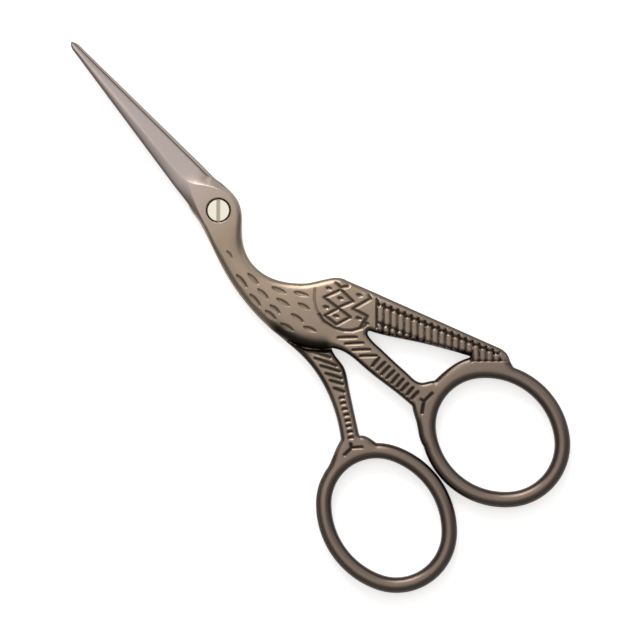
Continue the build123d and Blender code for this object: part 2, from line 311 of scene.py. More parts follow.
class Outline:
    """Closed outlines, and the distance of any places from them."""

    def __init__(self, loops):
        self.loops = loops
        self.points = np.vstack(loops)
        ahead = [np.roll(np.arange(len(loop)), -1) for loop in loops]
        starts = np.cumsum([0] + [len(loop) for loop in loops[:-1]])
        self.after = np.concatenate([start + index for start, index in zip(starts, ahead)])
        self.before = np.empty_like(self.after)
        self.before[self.after] = np.arange(len(self.after))
        way = unit(self.points[self.after] - self.points[self.before])
        self.normals = np.stack((-way[:, 1], way[:, 0]), 1)
        self.tree = tree_of(self.points)

    def nearest(self, places):
        return np.array([self.tree.find((x, y, 0))[1] for x, y in places])

    def distance(self, places):
        """Distance inside the outline, negative outside."""
        near = self.nearest(places)
        best = None
        for first, second in ((self.before[near], near), (near, self.after[near])):
            a, b = self.points[first], self.points[second]
            along = b - a
            share = np.clip(((places - a) * along).sum(1) / np.maximum((along ** 2).sum(1), TINY), 0, 1)
            foot = a + along * share[:, None]
            gap = np.linalg.norm(places - foot, axis=1)
            side = np.where((share > 0) & (share < 1), cross(along, places - a),
                            ((places - foot) * self.normals[near]).sum(1))
            signed = np.where(side >= 0, gap, -gap)
            best = signed if best is None else np.where(gap < np.abs(best), signed, best)
        return best


class Marks:
    """Grooves or ribs in the tool's plane, each from end to end with its half width and its taper.

    A groove has its depth and its shade too, which is how dark it is painted: partly a dark coating in its
    hollow, partly painted shade.
    """

    # Rows of mesh along a mark and arcs round its ends, as shares of its half width, with the arcs' points
    ROWS = (-1.35, -1.0, -0.7, -0.35, 0, 0.35, 0.7, 1.0, 1.35)
    ARCS = ((0.95, 6), (1.35, 7))

    def __init__(self, rows=()):
        self.rows = list(rows)

    def add_px(self, ends, width, depth=0.0, shade=0.0, taper=0.0):
        for u, v, p, q in ends:
            self.rows.append((place(u, v), place(p, q), width / 2, depth, shade, taper))

    def add_line_px(self, line, width, depth, shade):
        self.add_px([start + end for start, end in zip(line, line[1:])], width, depth, shade)

    def add_spots_px(self, spots, reach, width, depth=0.0, shade=0.0, taper=0.0):
        """Marks of one size, each from the first reach to the second from its spot."""
        (left, up), (right, down) = reach
        self.add_px([(u + left, v + up, u + right, v + down) for u, v in spots], width, depth, shade, taper)

    def guides(self, spacing):
        """Places along each mark's middle, flanks and rims, so that the mesh follows it."""
        found = []
        for a, b, half_width, _, _, taper in self.rows:
            along = b - a
            length = np.linalg.norm(along)
            way = along / length
            side = np.array((-way[1], way[0]))
            count = max(2, int(length / spacing) + 1)
            share = np.linspace(0, 1, count)[:, None]
            spread = half_width * (1 - taper * (2 * share - 1) ** 2)
            for offset in self.ROWS:
                found.append(a + along * share + side * offset * spread)
            for radius, parts in self.ARCS:
                angles = np.linspace(-math.pi / 2, math.pi / 2, parts)[:, None]
                arc = (np.cos(angles) * way + np.sin(angles) * side) * radius * half_width * (1 - taper)
                found.append(b + arc)
                found.append(a - arc)
        return np.vstack(found)

    def gaps(self, places, reach=0.0):
        """For each mark, the places on it or within reach, with its depth and shade.

        How far out a place lies comes as a share of the half width, then as a distance from the mark's rim.
        """
        for a, b, half_width, depth, shade, taper in self.rows:
            low = np.minimum(a, b) - half_width - reach
            high = np.maximum(a, b) + half_width + reach
            inside = np.flatnonzero(((places >= low) & (places <= high)).all(1))
            if len(inside) == 0:
                continue
            along = b - a
            share = np.clip(((places[inside] - a) @ along) / (along @ along), 0, 1)
            gap = np.linalg.norm(places[inside] - a - along * share[:, None], axis=1)
            spread = half_width * (1 - taper * (2 * share - 1) ** 2)
            yield inside, gap / spread, gap - spread, depth, shade


# How much a mark narrows towards its ends, as a share of its width
FEATHER_TAPER = 0.55
GROOVE_TAPER = 0.15
LEAF_TAPER = 0.3
# Widths beside the usual one of their kind: fainter marks, dimples and leaves, and toes
FAINT = 0.7
WIDE = 1.15
NARROW = 0.9
# How dark each kind of mark is painted, from 0 to 1: partly a dark coating in its hollow, partly painted
# shade
FEATHER_SHADE = 0.32
LINE_SHADE = 0.85
LEG_SHADE = 0.95
FAINT_SHADE = 0.35
# From a dimple's or rung's middle to its two ends
DIMPLE_REACH_PX = ((-1.5, -0.2), (1.5, 0.4))
RUNG_REACH_PX = ((-1.5, 0.3), (1.5, -0.3))


def grooves(carving, front):
    """Engraved marks of the front half, or of the rear half."""
    marks = Marks()
    feather = (carving.feather_width / MM, carving.feather_depth / MM, FEATHER_SHADE)
    line = (carving.line_width / MM, carving.line_depth / MM, LINE_SHADE)
    leg = (carving.groove_width / MM, carving.groove_depth / MM, LEG_SHADE)
    if front:
        marks.add_px(FEATHERS_PX, *feather, FEATHER_TAPER)
        marks.add_px([NECK_FEATHER_PX], feather[0] * FAINT, feather[1] * FAINT, FEATHER_SHADE, FEATHER_TAPER)
        for stroke in WING_LINES_PX:
            marks.add_line_px(stroke, *line)
        marks.add_line_px(WING_BORDER_PX, *line)
        marks.add_line_px(WING_FRONT_PX, line[0] * FAINT, line[1] * FAINT ** 2, FAINT_SHADE)
        marks.add_spots_px(WING_DIMPLES_PX, DIMPLE_REACH_PX, line[0] * WIDE, *line[1:], GROOVE_TAPER)
        marks.add_px([TAIL_BORDER_PX], line[0] * FAINT, *line[1:])
        marks.add_px(RIGHT_LEG_PX, *leg, GROOVE_TAPER)
        marks.add_px(RIGHT_TOES_PX, leg[0] * NARROW, *leg[1:])
    else:
        marks.add_px(LEFT_LEG_PX, leg[0] * WIDE, *leg[1:], LEAF_TAPER)
        marks.add_spots_px(LEFT_RUNGS_PX, RUNG_REACH_PX, *leg)
        marks.add_px(LEFT_TOES_PX, leg[0] * NARROW, *leg[1:])
    return marks


RIB_CLEARANCE_PX = 2.2    # from a rib's foot to the tail's lower edge
SCALE_REACH_PX = ((0.0, -4.0), (0.0, 0.0))
LOWER_SCALE_REACH_PX = ((0.0, 0.0), (0.4, 2.0))
LOWER_SCALE_SHARE = 0.85  # of a scale's usual width


def row_px(first, pitch, count):
    """Evenly spaced spots from the first one on."""
    return [(first[0] + pitch[0] * number, first[1] + pitch[1] * number) for number in range(count)]


def beads(carving):
    """Raised ribs and scales of the tail."""
    marks = Marks()
    rib = carving.rib_width / MM
    scale = carving.scale_width / MM
    first, top, foot = FIRST_RIB_PX
    for u, head in row_px((first, top), (RIB_PITCH_PX, COMB_SLOPE * RIB_PITCH_PX), RIB_COUNT):
        lowest = TAIL_FOOT_PX[1] + (u - TAIL_FOOT_PX[0]) * TAIL_FOOT_SLOPE - RIB_CLEARANCE_PX
        marks.add_px([(u, head, u, min(head + foot - top, lowest))], rib)
    marks.add_px([(u, head, u, LOOP_RIB_FOOT_PX) for u, head in LOOP_RIB_TOPS_PX], rib)
    scales = row_px(FIRST_SCALE_PX, (SCALE_PITCH_PX, COMB_SLOPE * SCALE_PITCH_PX), SCALE_COUNT)
    marks.add_spots_px(scales, SCALE_REACH_PX, scale)
    lower = row_px(FIRST_LOWER_SCALE_PX, LOWER_SCALE_PITCH_PX, LOWER_SCALE_COUNT)
    marks.add_spots_px(lower, LOWER_SCALE_REACH_PX, scale * LOWER_SCALE_SHARE)
    marks.add_px([LAST_SCALE_PX], scale)
    return marks


BELOW_FOOT = 0.6          # how far past the tail's lower edge the lowered ground runs
COMB_WALL = (-0.05, 0.10)  # the lowered ground's edge, from none to full


def comb_floor(places):
    """Where the tail lies lower between its ribs: below its smooth strip, clear of wing, leg and loop."""
    slope = math.atan(COMB_SLOPE)
    down = -UP * math.cos(slope) - RIGHT * math.sin(slope)
    below = (places - place(*COMB_CORNER_PX)) @ down
    after = (places - place(*COMB_CORNER_PX)) @ RIGHT
    before = (place(*COMB_END_PX) - places) @ RIGHT
    above_loop = (places - place(*COMB_LOOP_PX)) @ UP
    foot = math.atan(TAIL_FOOT_SLOPE)
    above_foot = (places - place(*TAIL_FOOT_PX)) @ (UP * math.cos(foot) + RIGHT * math.sin(foot))
    on_loop = (places - place(*COMB_ON_LOOP_PX)) @ RIGHT
    clear_below = np.maximum(above_foot + BELOW_FOOT, on_loop)
    inside = np.minimum.reduce((below, after, before, above_loop, clear_below))
    return ease(inside, *COMB_WALL)


RIB_POWER = 3.0           # a rib is squarer than a half round
# A groove is at its darkest up to DARKEST and bare from BARE outwards, as shares of its half width. At full
# shade it is bare BARE_LATER further out.
DARKEST = 0.1
BARE = 0.35
BARE_LATER = 0.5
# Painted shade on the lowered ground between the tail's ribs and low on their sides, partly a dark coating
COMB_SHADE = 0.95
COMB_SHADE_LIFT = (0.55, 0.1)   # how high on a rib's side it is bare and darkest, as shares of the rib


def carve(places, marks, raised, comb_depth):
    """Depth of the engraved marks and of the tail's comb, and how dark each place is painted: a dark coating
    in the hollows, partly painted shade.
    """
    depth = np.zeros(len(places))
    dark = np.zeros(len(places))
    for inside, share, _, deep, shade in marks.gaps(places):
        depth[inside] = np.maximum(depth[inside], deep * (1 - share))
        # Painted shade, partly a dark coating, darkest in the middle of each groove
        dark[inside] = np.maximum(dark[inside], shade * ease(share, BARE + BARE_LATER * shade, DARKEST))
    if raised.rows:
        floor = comb_floor(places)
        lift = np.zeros(len(places))
        for inside, share, _, _, _ in raised.gaps(places):
            lift[inside] = np.maximum(lift[inside], rounded(1 - share, RIB_POWER))
        depth = np.maximum(depth, comb_depth * floor * (1 - lift))
        # Painted shade between the ribs, partly a dark coating
        dark = np.maximum(dark, COMB_SHADE * floor * ease(lift, *COMB_SHADE_LIFT))
    return depth, dark


CREASE = 0.06             # how far a crease between two surfaces is rounded
SIDE_SLOPE = 0.5          # how steeply a blade's side runs on over the land, where the land is lower
BACK_ROUNDING = 0.75      # a power under 1 makes the side towards the back bulge


def soft_least(*heights):
    """Least of some heights, with the creases between them slightly rounded."""
    least = np.minimum.reduce(heights)
    return least - CREASE * np.log(sum(np.exp((least - height) / CREASE) for height in heights))


def blade_height(places, inward):
    """Outer surface of a blade with its flat round the screw."""
    x, y = places[:, 0], places[:, 1]
    d = np.maximum(inward, 0)
    land = np.interp(x, *RIDGE_HEIGHTS) * HALF
    edge = np.interp(x, *EDGE_HEIGHTS)
    back = np.interp(x, *BACK_HEIGHTS) * HALF
    sides = []
    for ridge, rim, sign in ((CUT_RIDGE, edge, 1), (BACK_RIDGE, back, -1)):
        chain = flowing(ridge)
        gap = chain_gap(chain, places)
        share = d / np.maximum(d + gap, TINY)
        if sign < 0:
            share = share ** BACK_ROUNDING
        outside = (y - np.interp(x, chain[:, 0], chain[:, 1])) * sign < 0
        sides.append(np.where(outside, rim + (land - rim) * share, land + SIDE_SLOPE * gap))
    return soft_least(land + CREASE, *sides)


# Form of a half. Widths of its rounded edges and heights of its sides stand beside the X that they are at.
EDGE_WIDTHS = ((-36.0, -30.0, -8.0, -1.0, 3.0), (0.95, 1.15, 1.15, 1.0, 0.35))
SIDE_HEIGHTS = ((-34.0, -26.0, -4.0, 4.0), (0.7, 1.0, 1.0, 0.2))
LOOP_SIDE_HEIGHT = 0.45
LOOP_END_SHARES = (1.35, 0.95)   # of the loop's wall, from its hole to where it runs into the leg
BELLY_X = -26.5
BELLY_SPREAD = 5.5
BELLY_Y = (-1.5, 2.0)
BELLY_SIDE_DROP = 0.3
BREAST_X = ((-3.0, -9.0), (-33.0, -27.0))
NECK_TO_LAND_X = (-4.0, -1.0)
BLADE_X = (3.0, 5.0)
EDGE_DROP = 0.12          # of the blade's outermost edge, which fades inwards over EDGE_RADIUS
EDGE_RADIUS = 0.08
LEAST_HEIGHT = 0.06

# Painted shade on the sides, from 0 to 1, and over which distances from the edge it comes in
EDGE_SHADES = ((-34.0, -24.0, -8.0, 4.0, 10.0), (0.95, 0.7, 0.5, 0.5, 0.4))
EDGE_SHADE_FROM = 0.55
LOOP_SHADE_MORE = 0.4
EDGE_SHADE_TO = 0.08
# Painted shade on the walls round the tail's window
WINDOW_SHADE = 0.95
WINDOW_SHADE_GAP = (0.6, 0.25)
# Painted shade on the sides of the legs that face +Y
LEG_SIDE_SHADE = 0.9
LEG_SIDE_SHADE_GAP = (0.75, 0.25)
LEG_SIDE_FACING = (0.2, 0.7)
LEGS_X = ((-29.0, -32.0), (-52.0, -48.0))
# Painted shade under the front half's belly
BELLY_SHADE = 0.93
BELLY_SHADE_GAP = (3.0, 0.7)
BELLY_SHADE_SHARES = (0.15, 0.6)
# Painted shadow along the front blade's cutting edge, where it lies over the rear blade
CUT_SHADE = 0.95
CUT_SHADE_GAP = (0.22, 0.08)
CUT_SHADE_X = (5.5, 6.0)


class Lie:
    """How places lie on a half, mirrored to the front. Side is 1 for the front half and -1 for the rear."""

    def __init__(self, places, outline, form, side):
        self.places = places * (1, side)
        self.x, self.y = self.places[:, 0], self.places[:, 1]
        self.inward = outline.distance(places)
        # How far the nearest edge faces +Y, which isn't mirrored
        self.facing_y = -outline.normals[outline.nearest(places)][:, 1]
        wall = form.loop_wall / MM
        hole_gap = Outline([outline.loops[1]]).distance(places)
        self.ring = ease(hole_gap, wall * LOOP_END_SHARES[0], wall * LOOP_END_SHARES[1])
        self.belly = np.zeros(len(places))
        self.window_gap = np.full(len(places), np.inf)
        if side > 0:
            self.belly = np.exp(-((self.x - BELLY_X) / BELLY_SPREAD) ** 2) * ease(self.y, *BELLY_Y)
            self.window_gap = np.abs(Outline([outline.loops[2]]).distance(places))


def outer_height(lie, form):
    """Outer surface of a half before carving."""
    width = np.interp(lie.x, *EDGE_WIDTHS) + form.belly_round / MM * lie.belly
    width = width + (form.loop_wall / MM / 2 - width) * lie.ring
    foot = np.interp(lie.x, *SIDE_HEIGHTS) * (1 - lie.ring) + LOOP_SIDE_HEIGHT * lie.ring
    foot = foot - BELLY_SIDE_DROP * lie.belly
    body = foot + (HALF - foot) * rounded(lie.inward / width, QUARTER_ROUND)
    dome = form.dome_drop / MM * (1 - np.clip(lie.inward / (form.dome_width / MM), 0, 1)) ** 2
    body = body - dome * within(lie.x, *BREAST_X) * (1 - lie.ring)
    blade = blade_height(lie.places, lie.inward)
    land = ease(lie.x, *NECK_TO_LAND_X)
    neck = np.minimum(body, blade) * land + body * (1 - land)
    worn = np.maximum(blade - EDGE_DROP * np.exp(-np.maximum(lie.inward, 0) / EDGE_RADIUS), LEAST_HEIGHT)
    blade_only = ease(lie.x, *BLADE_X)
    return np.minimum(neck * (1 - blade_only) + worn * blade_only, HALF)


def side_shade(lie):
    """How dark the sides are painted before carving: painted shade on edges, tail window, legs, belly and
    cutting bevel.
    """
    edge = ease(lie.inward, EDGE_SHADE_FROM + LOOP_SHADE_MORE * lie.ring, EDGE_SHADE_TO)
    window = WINDOW_SHADE * ease(lie.window_gap, *WINDOW_SHADE_GAP)
    legs = LEG_SIDE_SHADE * ease(lie.facing_y, *LEG_SIDE_FACING) * within(lie.x, *LEGS_X)
    legs = legs * ease(lie.inward, *LEG_SIDE_SHADE_GAP)
    belly = BELLY_SHADE * ease(lie.belly, *BELLY_SHADE_SHARES) * ease(lie.inward, *BELLY_SHADE_GAP)
    cut = CUT_SHADE * ease(lie.inward, *CUT_SHADE_GAP) * ease(lie.x, *CUT_SHADE_X) * (lie.y < 0)
    return np.maximum.reduce((np.interp(lie.x, *EDGE_SHADES) * edge, window, legs, belly, cut))


# Rows of mesh along the outline, along the step in the meeting faces, round the screw's recess and beside
# the ridges, each as its distance from the line that it follows
ROW_OFFSETS = (0.03, 0.10, 0.20, 0.34, 0.52, 0.76, 1.06, 1.375)
STEP_ROW_OFFSETS = (-0.03, 0.03, 0.12, 0.3, 0.55)
RECESS_ROW_OFFSETS = (-0.01, 0.01, 0.06, 0.14, 0.24)
RIDGE_ROW_OFFSETS = (-0.3, -0.12, -0.04, 0.04, 0.12, 0.3)
ROW_SHARE = 0.96          # of its offset, that a row keeps from all of the outline
STEP_ROW_CLEARANCE = 0.04
GUIDE_CLEARANCE = 0.05
GUIDE_SPACING = 0.15
THINNING = 0.05           # of places in a square of this side only the first stays
CELL_ROW = 10 ** 8        # more squares than lie in a column
MARK_REACH = 0.35         # how far past a mark the fine grid goes on
CLEAR_SHARE = 0.6         # of a grid's step, that it keeps from the rows
TRIANGLE_HEIGHT = 0.866   # of an even-sided triangle, as a share of its side
CIRCLE_POINTS = 96
RIDGE_PIECES = 40
SEED = 7
JITTER = 0.004            # places are shifted by up to this, so that no four lie on a circle
MERGE = 1e-7


def grid(low, high, step):
    """Places in a grid of even-sided triangles."""
    xs = np.arange(low[0], high[0], step)
    ys = np.arange(low[1], high[1], step * TRIANGLE_HEIGHT)
    x, y = np.meshgrid(xs, ys)
    x = x + (np.arange(len(ys)) % 2)[:, None] * step / 2
    return np.stack((x.ravel(), y.ravel()), 1)


def shape_guides(side):
    """Places round the screw's recess and along the ridges, so that the mesh follows them."""
    circle = np.linspace(0, 2 * math.pi, CIRCLE_POINTS, endpoint=False)[:, None]
    around = np.hstack((np.cos(circle), np.sin(circle)))
    found = [around * (COUNTERBORE + offset) for offset in RECESS_ROW_OFFSETS]
    for ridge in (CUT_RIDGE, BACK_RIDGE):
        chain = flowing(ridge, RIDGE_PIECES)
        way = unit(np.gradient(chain, axis=0))
        across = np.stack((-way[:, 1], way[:, 0]), 1)
        for offset in RIDGE_ROW_OFFSETS:
            found.append((chain + across * offset) * (1, side))
    return np.vstack(found)


def fill(outline, steps, guides, carved, coarse, fine):
    """Places inside an outline: its own points, rows along it and its steps, guides, then two grids."""
    rows = []
    for offset in ROW_OFFSETS:
        row = outline.points + outline.normals * offset
        rows.append(row[outline.distance(row) > offset * ROW_SHARE])
    for step_line in steps:
        for offset in STEP_ROW_OFFSETS:
            row = step_line.points + step_line.normals * offset
            rows.append(row[outline.distance(row) > STEP_ROW_CLEARANCE])
    rows.append(guides[outline.distance(guides) > GUIDE_CLEARANCE])
    extra = np.vstack(rows)
    cells = np.round(extra / THINNING).astype(np.int64)
    _, first = np.unique(cells[:, 0] * CELL_ROW + cells[:, 1], return_index=True)
    found = [np.vstack((outline.points, extra[np.sort(first)]))]
    tree = tree_of(found[0])
    low, high = outline.points.min(0), outline.points.max(0)
    for step, wanted in ((coarse, False), (fine, True)):
        places = grid(low, high, step)
        near_mark = np.zeros(len(places), bool)
        for inside, _, beyond, _, _ in carved.gaps(places, MARK_REACH):
            near_mark[inside[beyond < MARK_REACH]] = True
        places = places[near_mark == wanted]
        places = places[outline.distance(places) > ROW_OFFSETS[1]]
        clear = np.array([tree.find((x, y, 0))[2] > step * CLEAR_SHARE for x, y in places])
        found.append(places[clear])
    return np.vstack(found)


def triangulate(points, outline):
    """Triangles between the places, those outside the outline left out."""
    count = len(outline.points)
    points = points.copy()
    points[count:] += np.random.default_rng(SEED).uniform(-JITTER, JITTER, (len(points) - count, 2))
    edges = [(int(k), int(outline.after[k])) for k in range(count)]
    flat, _, faces, origins, _, _ = delaunay_2d_cdt(
        [Vector((x, y)) for x, y in points], edges, [], 0, MERGE, True)
    flat = np.array([(v.x, v.y) for v in flat])
    faces = np.array(faces)
    faces = faces[outline.distance(flat[faces].mean(1)) > 0]
    rim = np.full(count, -1)
    for index, sources in enumerate(origins):
        for source in sources:
            if source < count:
                rim[source] = index
    return flat, faces, rim


def shell(name, outline, top, bottom):
    """Closed piece between an upper and a lower surface that share an outline.

    Each is given as its places and a function for their heights and shades.
    """
    vertices, faces, shades, rims = [], [], [], []
    offset = 0
    for points, surface, downward in (top + (False,), bottom + (True,)):
        flat, triangles, rim = triangulate(points, outline)
        height, dark = surface(flat)
        vertices.append(np.column_stack((flat, -height if downward else height)))
        shades.append(dark)
        faces.append((triangles[:, ::-1] if downward else triangles) + offset)
        rims.append(rim + offset)
        offset += len(flat)
    quads = np.stack((rims[1], rims[1][outline.after], rims[0][outline.after], rims[0]), 1)
    vertices = np.vstack(vertices)
    vertices[:, 2] += HALF
    mesh = bpy.data.meshes.new(name)
    mesh.from_pydata((vertices * MM).tolist(), [], np.vstack(faces).tolist() + quads.tolist())
    # The dark attribute: painted shade, and partly a dark coating in the carving
    attribute = mesh.attributes.new("dark", "FLOAT", "POINT")
    attribute.data.foreach_set("value", np.concatenate(shades).astype(np.float32))
    mesh.shade_smooth()
    mesh.validate()
    piece = bpy.data.objects.new(name, mesh)
    bpy.context.scene.collection.objects.link(piece)
    return piece


COUNTERBORE = 2.11        # radius of the recess for the screw's head
COUNTERBORE_FLOOR = 0.87
LIP_WIDTH = 0.14          # of the worn rim round the recess
LIP_DROP = 0.098
# Painted shade: the recess round the screw's head is painted black, out to DARK_RIM past it
DARK_RIM = 0.01           # how far past the recess its black goes
SECTION_HEIGHT = 0.1      # outside the middle plane, where a half's whole outline is cut
STEP_HEIGHT = 0.3         # past the middle plane, where the part of a half is cut that reaches through it
SAME_OUTLINE = 0.05       # the outline and its step count as one where they lie closer than this
LAP_GAP = 0.03            # from a lapped face to the middle plane
# Painted shade on the lapped faces, where the two halves lie on each other
LAP_SHADE = 0.25
SHOULDER_FOOT = 0.55
SHOULDER_WIDTH = 0.9
# Painted shadow along the step where a half comes out from under the other, below the belly
SHOULDER_SHADE = 0.95
SHOULDER_SHADE_GAP = (1.1, 0.3)
SHOULDER_X = ((-18.0, -22.0), (-40.0, -36.0))
UNDERSIDE_COARSER = 1.4


def forged_half(name, node, body, front):
    """One carved half of the scissors in place of its CAD node."""
    scene = bpy.context.scene
    carving, form = scene.scissors_carving, scene.scissors_form
    side = 1 if front else -1
    outline = Outline([smooth_loop(loop, side) for loop in section_loops(node, SECTION_HEIGHT * side)])
    step = Outline([smooth_loop(loop, side) for loop in section_loops(node, -STEP_HEIGHT * side)])
    marks = grooves(carving, front)
    comb = beads(carving) if front else Marks()
    carved = Marks(marks.rows + comb.rows)

    def outer_face(flat):
        lie = Lie(flat, outline, form, side)
        depth, dark = carve(flat, marks, comb, carving.comb_depth / MM)
        return outer_height(lie, form) - depth, np.maximum(dark, side_shade(lie))

    def face_with_recess(flat):
        height, dark = outer_face(flat)
        radius = np.hypot(flat[:, 0], flat[:, 1])
        lip = LIP_DROP * (1 - np.clip((radius - COUNTERBORE) / LIP_WIDTH, 0, 1))
        height = np.where(radius < COUNTERBORE, COUNTERBORE_FLOOR, height - lip)
        # Painted shade in the recess round the screw's head
        return height, np.where(radius < COUNTERBORE + DARK_RIM, 1.0, dark)

    def meeting_face(flat):
        height, dark = outer_face(flat)
        inward = step.distance(flat)
        shoulder = SHOULDER_FOOT + (HALF - SHOULDER_FOOT) * rounded(inward / SHOULDER_WIDTH, QUARTER_ROUND)
        # Painted shadow along the step
        shade = SHOULDER_SHADE * ease(inward, *SHOULDER_SHADE_GAP) * within(flat[:, 0], *SHOULDER_X)
        raised = inward > -SAME_OUTLINE
        height = np.where(raised, np.minimum(height, shoulder), -LAP_GAP)
        return height, np.where(raised, np.maximum(dark, shade), LAP_SHADE)

    guides = np.vstack((carved.guides(GUIDE_SPACING), shape_guides(side)))
    fine, coarse = form.fine_mesh / MM, form.coarse_mesh / MM
    above = fill(outline, [] if front else [step], guides, carved, coarse, fine)
    below = fill(outline, [step] if front else [], guides, carved, coarse, fine * UNDERSIDE_COARSER)
    if front:
        piece = shell(name, outline, (above, face_with_recess), (below, meeting_face))
    else:
        piece = shell(name, outline, (above, meeting_face), (below, outer_face))
    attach(piece, body)
    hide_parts(node.name)
    piece.data.materials.append(bronzed_steel(scene.scissors_finish))
    return piece


def linear(code):
    """sRGB hex colour as linear values."""
    values = [int(code[k:k + 2], 16) / 255 for k in (0, 2, 4)]
    return [v / 12.92 if v <= 0.04045 else ((v + 0.055) / 1.055) ** 2.4 for v in values] + [1.0]


def add_node(tree, kind, settings=None, **links):
    """Shader node with its settings and links.

    A link is named for its socket, with _ for a space, or is _ and the socket's number.
    """
    node = tree.nodes.new(kind)
    for key, value in (settings or {}).items():
        if isinstance(key, int) or key in node.inputs:
            node.inputs[key].default_value = value
        else:
            setattr(node, key, value)
    for key, source in links.items():
        tree.links.new(source, node.inputs[int(key[1:]) if key[1:].isdigit() else key.replace("_", " ")])
    return node


def new_material(name):
    material = bpy.data.materials.new(name)
    material.use_nodes = True
    material.node_tree.nodes.clear()
    return material, material.node_tree


NECK_TO_BLADE_X = (-4.0, 9.0)
BODY_TO_LOOP_X = (-14.0, -56.0)
COATING_METALLIC = 0.9
# The satin's real grain is about a twentieth of a millimetre, too fine to show, so it is drawn coarser
GRAIN = 0.25
GRAIN_RELIEF = 0.02
GRAIN_STRENGTH = 0.12


def bronzed_steel(finish):
    """Steel with a satin bronze coating, lighter and greyer on the blades, nearly black in the carving and
    in painted shade.
    """
    # The satin spreads each highlight softly over the rounded edges, with no sharp mirror image. The dark
    # attribute
    # mixes in black: a coating left in hollows where no polishing reaches, partly painted shade, and painted
    # shade on the sides, round the screw and between the halves
    material = bpy.data.materials.get("bronzed_steel_satin")
    if material:
        return material
    material, tree = new_material("bronzed_steel_satin")
    coordinates = add_node(tree, "ShaderNodeTexCoord")
    along = add_node(tree, "ShaderNodeSeparateXYZ", Vector=coordinates.outputs["Object"])
    to_blade, to_loops = (
        add_node(tree, "ShaderNodeMapRange", {"From Min": start * MM, "From Max": end * MM},
                 Value=along.outputs["X"])
        for start, end in (NECK_TO_BLADE_X, BODY_TO_LOOP_X))
    handle = add_node(tree, "ShaderNodeMix",
                      {"data_type": "RGBA", 6: finish.body_colour, 7: finish.loop_colour},
                      _0=to_loops.outputs["Result"])
    whole = add_node(tree, "ShaderNodeMix", {"data_type": "RGBA", 7: finish.blade_colour},
                     _0=to_blade.outputs["Result"], _6=handle.outputs[2])
    # Painted shade, and the dark coating in the carving, from the dark attribute
    dark = add_node(tree, "ShaderNodeAttribute", {"attribute_name": "dark"})
    base = add_node(tree, "ShaderNodeMix", {"data_type": "RGBA", 7: finish.carving_and_shade_colour},
                    _0=dark.outputs["Fac"], _6=whole.outputs[2])
    grain = add_node(tree, "ShaderNodeTexNoise", {"Scale": 1 / (GRAIN * MM), "Detail": 2.0},
                     Vector=coordinates.outputs["Object"])
    bump = add_node(tree, "ShaderNodeBump", {"Strength": GRAIN_STRENGTH, "Distance": GRAIN_RELIEF * MM},
                    Height=grain.outputs["Fac"])
    shader = add_node(tree, "ShaderNodeBsdfPrincipled",
                      {"Metallic": COATING_METALLIC, "Roughness": finish.roughness},
                      Base_Color=base.outputs[2], Normal=bump.outputs["Normal"])
    add_node(tree, "ShaderNodeOutputMaterial", Surface=shader.outputs["BSDF"])
    return material


def bare_steel(name, colour, roughness):
    """Steel without a coating."""
    material, tree = new_material(name)
    shader = add_node(tree, "ShaderNodeBsdfPrincipled", {
        "Base Color": colour, "Metallic": 1.0, "Roughness": roughness})
    add_node(tree, "ShaderNodeOutputMaterial", Surface=shader.outputs["BSDF"])
    return material


POLISHED_ROUGHNESS = 0.16
SAWN_ROUGHNESS = 0.45


def polished_steel(finish):
    """Bright polished steel of the screw."""
    # Polishing makes it a near mirror, bright where it shows the paper and the lamps
    return bare_steel("polished_steel", finish.screw_colour, POLISHED_ROUGHNESS)


def sawn_steel(finish):
    """Sawn floor of the screw's slot."""
    # A saw leaves steel duller and greyer than the polished head
    return bare_steel("steel_sawn", finish.slot_colour, SAWN_ROUGHNESS)


def white_paper(glow):
    """Matt white paper, white to the camera and in the metal's reflections, and grey to all other light."""
    # Paper without gloss is one even white, on which the tool leaves a soft shadow
    material, tree = new_material("white_paper_matt")
    rays = add_node(tree, "ShaderNodeLightPath")
    mirrored = add_node(tree, "ShaderNodeMath", {"operation": "MAXIMUM"},
                        _0=rays.outputs["Is Glossy Ray"], _1=rays.outputs["Is Transmission Ray"])
    seen = add_node(tree, "ShaderNodeMath", {"operation": "MAXIMUM"},
                    _0=rays.outputs["Is Camera Ray"], _1=mirrored.outputs["Value"])
    paper = add_node(tree, "ShaderNodeBsdfPrincipled", {
        "Base Color": linear("f4f4f4"), "Roughness": 0.9, "Specular IOR Level": 0.0,
        "Emission Color": linear("ffffff"), "Emission Strength": glow})
    grey = add_node(tree, "ShaderNodeBsdfDiffuse", {"Color": linear("464646")})
    mixed = add_node(tree, "ShaderNodeMixShader", Fac=seen.outputs["Value"], _1=grey.outputs["BSDF"],
                     _2=paper.outputs["BSDF"])
    add_node(tree, "ShaderNodeOutputMaterial", Surface=mixed.outputs["Shader"])
    return material


# Lamps: lean from the vertical and turn from the photograph's upper side in degrees, distance and size in
# metres, brightness of the lamp's face as a setting's name, and colour
LAMPS = [
    ("key", 56.0, 12.0, 0.50, 0.30, "key_brightness", "fff8f2"),
    ("above", 14.0, 45.0, 0.80, 0.90, "above_brightness", "fffaf4"),
    ("right", 58.0, -48.0, 0.60, 0.50, "right_brightness", "ffffff"),
]
GROUND_SIZE = 4.0         # metres
GROUND_GAP = 0.02         # from the ground up to the tool
CAMERA_DISTANCE = 0.8     # metres
NEAREST_SEEN = 0.01       # metres
SENSOR = 36.0             # millimetres


def add_lamp(settings, middle, name, lean, turn, distance, size, brightness, colour):
    data = bpy.data.lights.new(name, "AREA")
    data.size = size
    data.energy = getattr(settings, brightness) * math.pi * size ** 2
    data.color = linear(colour)[:3]
    lamp = bpy.data.objects.new(name, data)
    angle = math.atan2(UP[1], UP[0]) + math.radians(turn)
    lean = math.radians(lean)
    direction = Vector((math.cos(angle) * math.sin(lean), math.sin(angle) * math.sin(lean), math.cos(lean)))
    lamp.location = middle + direction * distance
    lamp.rotation_euler = direction.to_track_quat("Z", "Y").to_euler()
    bpy.context.scene.collection.objects.link(lamp)


